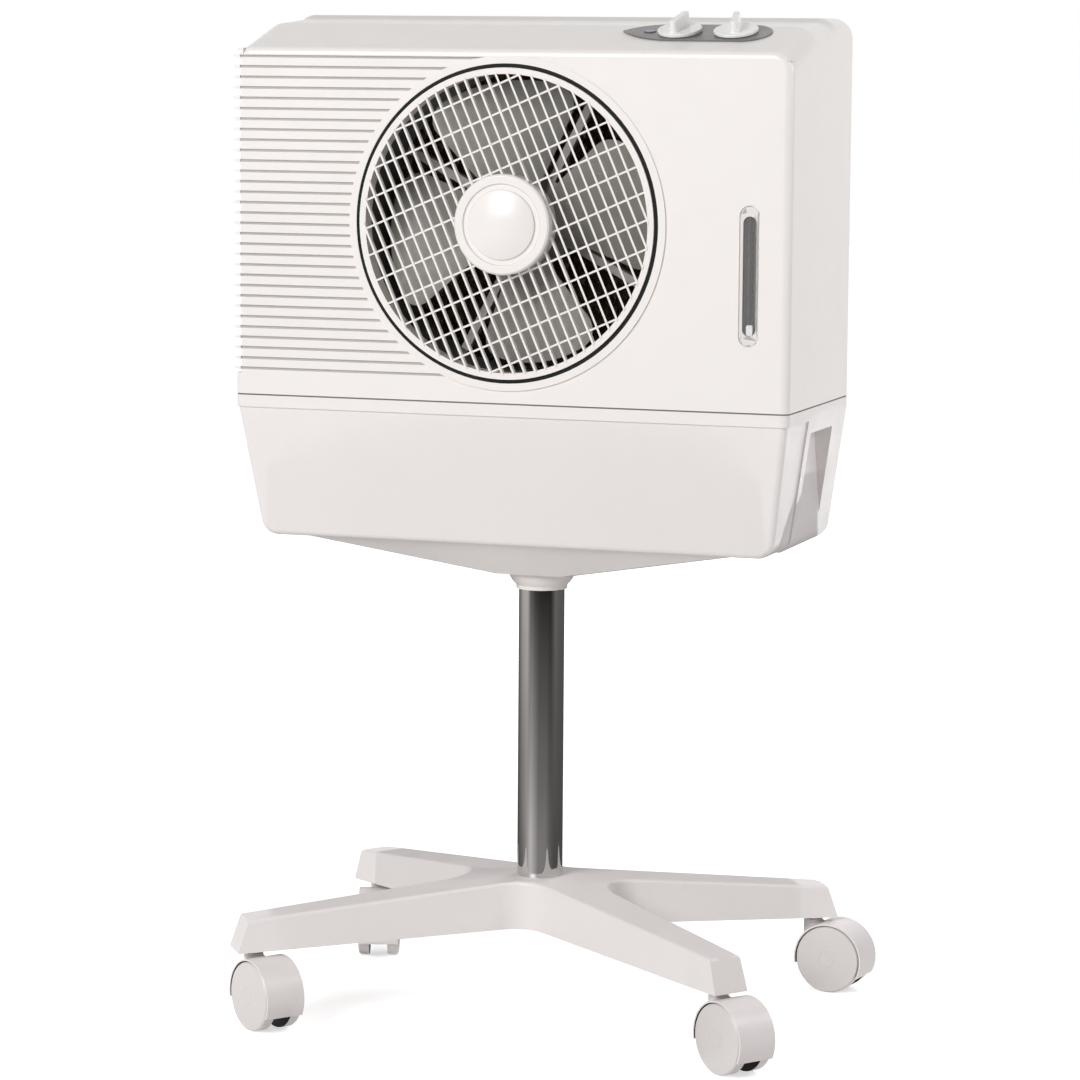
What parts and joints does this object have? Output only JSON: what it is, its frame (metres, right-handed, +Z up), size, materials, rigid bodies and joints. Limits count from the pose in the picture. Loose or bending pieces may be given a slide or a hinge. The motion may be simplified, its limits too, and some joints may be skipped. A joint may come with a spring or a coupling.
{
  "type": "evaporative cooler",
  "caption": "Portable evaporative cooler with a rotating louvred grille, water tank and knob controls, on a chrome pedestal with an X base and casters.",
  "frame": {"origin": "on the floor, on the axis of the chrome column", "axes": "+Z up; the grille faces -Y; +X is to the right of someone who looks at the grille"},
  "size_m": [0.642, 0.4662, 1.092],
  "materials": {
    "casing": "satin",
    "tank": "satin",
    "knobs": "satin",
    "blades": "translucent grey",
    "duct": "matte",
    "black": "satin",
    "bracket": "satin",
    "motor": "cast",
    "steel": "zinc plated",
    "chrome": "polished",
    "lens": "clear",
    "gauge": "matte",
    "float": "matte",
    "marker": "gloss",
    "panel": "satin",
    "lamp": "gloss",
    "hose": "matte",
    "pad": "wet cellulose",
    "base": "satin",
    "wheel": "satin"
  },
  "bodies": {
    "cooler": {"front_casing": "casing", "rear_casing": "casing", "bearing_ring": "black", "air_duct": "duct", "motor_bracket": "bracket", "fan_motor": "motor", "gauge_lens": "lens", "gauge_body": "gauge", "control_panel": "panel", "pilot_lamp": "lamp", "selector_switch": "black", "timer_mechanism": "black", "tank": "tank", "drain_plug": "black", "pump_strainer": "black", "pump_body": "black", "water_hose": "hose", "water_distributor": "float", "pad_frame": "duct", "evaporative_pad": "pad", "rear_louvre_panel": "casing", "support_pan": "casing", "column": "chrome", "base": "base", "column_plug": "black", "column_bolt": "steel", "caster_sockets": "black", "caster_stems": "steel", "casing_screws": "steel", "panel_screws": "steel", "cord_gland": "black"},
    "fan": {"fan_impeller": "blades", "fan_nut": "black", "motor_shaft": "steel"},
    "grille": {"rotating_grille": "casing", "grille_hub_cap": "casing"},
    "selector": {"selector_knob": "knobs"},
    "timer": {"timer_knob": "knobs"},
    "level": {"level_float": "float", "level_marker": "marker"},
    "pump_rotor": {"pump_impeller": "float"},
    "caster_fl": {"caster_hood_fl": "base", "caster_axle_fl": "steel"},
    "wheel_fl_a": {"caster_wheel_fl_a": "wheel"},
    "wheel_fl_b": {"caster_wheel_fl_b": "wheel"},
    "caster_fr": {"caster_hood_fr": "base", "caster_axle_fr": "steel"},
    "wheel_fr_a": {"caster_wheel_fr_a": "wheel"},
    "wheel_fr_b": {"caster_wheel_fr_b": "wheel"},
    "caster_br": {"caster_hood_br": "base", "caster_axle_br": "steel"},
    "wheel_br_a": {"caster_wheel_br_a": "wheel"},
    "wheel_br_b": {"caster_wheel_br_b": "wheel"},
    "caster_bl": {"caster_hood_bl": "base", "caster_axle_bl": "steel"},
    "wheel_bl_a": {"caster_wheel_bl_a": "wheel"},
    "wheel_bl_b": {"caster_wheel_bl_b": "wheel"}
  },
  "joints": [
    {"name": "fan_spin", "type": "hinge", "parent": "cooler", "child": "fan", "pos_m": [0, -0.08, 0.868], "axis": [0, -1, 0], "continuous": true},
    {"name": "grille_spin", "type": "hinge", "parent": "cooler", "child": "grille", "pos_m": [0, -0.12, 0.868], "axis": [0, -1, 0], "continuous": true},
    {"name": "selector_turn", "type": "hinge", "parent": "cooler", "child": "selector", "pos_m": [0.17, -0.06261, 1.06823], "axis": [0, -0.2804, 0.9599], "range_deg": [-180, 0]},
    {"name": "timer_turn", "type": "hinge", "parent": "cooler", "child": "timer", "pos_m": [0.231, -0.06261, 1.06823], "axis": [0, -0.2804, 0.9599], "range_deg": [-300, 0]},
    {"name": "level_rise", "type": "slide", "parent": "cooler", "child": "level", "axis": [0, 0, 1], "range_m": [0, 0.112]},
    {"name": "pump_spin", "type": "hinge", "parent": "cooler", "child": "pump_rotor", "pos_m": [0.24542, 0.086, 0.54], "axis": [0, 0, 1], "continuous": true},
    {"name": "caster_fl_swivel", "type": "hinge", "parent": "cooler", "child": "caster_fl", "pos_m": [-0.262, -0.189, 0.08], "axis": [0, 0, 1], "continuous": true},
    {"name": "wheel_fl_a_roll", "type": "hinge", "parent": "caster_fl", "child": "wheel_fl_a", "pos_m": [-0.24016, -0.20487, 0.0375], "axis": [-0.5878, -0.809, 0], "continuous": true},
    {"name": "wheel_fl_b_roll", "type": "hinge", "parent": "caster_fl", "child": "wheel_fl_b", "pos_m": [-0.24016, -0.20487, 0.0375], "axis": [-0.5878, -0.809, 0], "continuous": true},
    {"name": "caster_fr_swivel", "type": "hinge", "parent": "cooler", "child": "caster_fr", "pos_m": [0.262, -0.189, 0.08], "axis": [0, 0, 1], "continuous": true},
    {"name": "wheel_fr_a_roll", "type": "hinge", "parent": "caster_fr", "child": "wheel_fr_a", "pos_m": [0.28384, -0.20487, 0.0375], "axis": [-0.5878, -0.809, 0], "continuous": true},
    {"name": "wheel_fr_b_roll", "type": "hinge", "parent": "caster_fr", "child": "wheel_fr_b", "pos_m": [0.28384, -0.20487, 0.0375], "axis": [-0.5878, -0.809, 0], "continuous": true},
    {"name": "caster_br_swivel", "type": "hinge", "parent": "cooler", "child": "caster_br", "pos_m": [0.262, 0.189, 0.08], "axis": [0, 0, 1], "continuous": true},
    {"name": "wheel_br_a_roll", "type": "hinge", "parent": "caster_br", "child": "wheel_br_a", "pos_m": [0.28874, 0.18524, 0.0375], "axis": [-0.1392, -0.9903, 0], "continuous": true},
    {"name": "wheel_br_b_roll", "type": "hinge", "parent": "caster_br", "child": "wheel_br_b", "pos_m": [0.28874, 0.18524, 0.0375], "axis": [-0.1392, -0.9903, 0], "continuous": true},
    {"name": "caster_bl_swivel", "type": "hinge", "parent": "cooler", "child": "caster_bl", "pos_m": [-0.262, 0.189, 0.08], "axis": [0, 0, 1], "continuous": true},
    {"name": "wheel_bl_a_roll", "type": "hinge", "parent": "caster_bl", "child": "wheel_bl_a", "pos_m": [-0.25321, 0.16347, 0.0375], "axis": [-0.9455, -0.3256, 0], "continuous": true},
    {"name": "wheel_bl_b_roll", "type": "hinge", "parent": "caster_bl", "child": "wheel_bl_b", "pos_m": [-0.25321, 0.16347, 0.0375], "axis": [-0.9455, -0.3256, 0], "continuous": true}
  ]
}
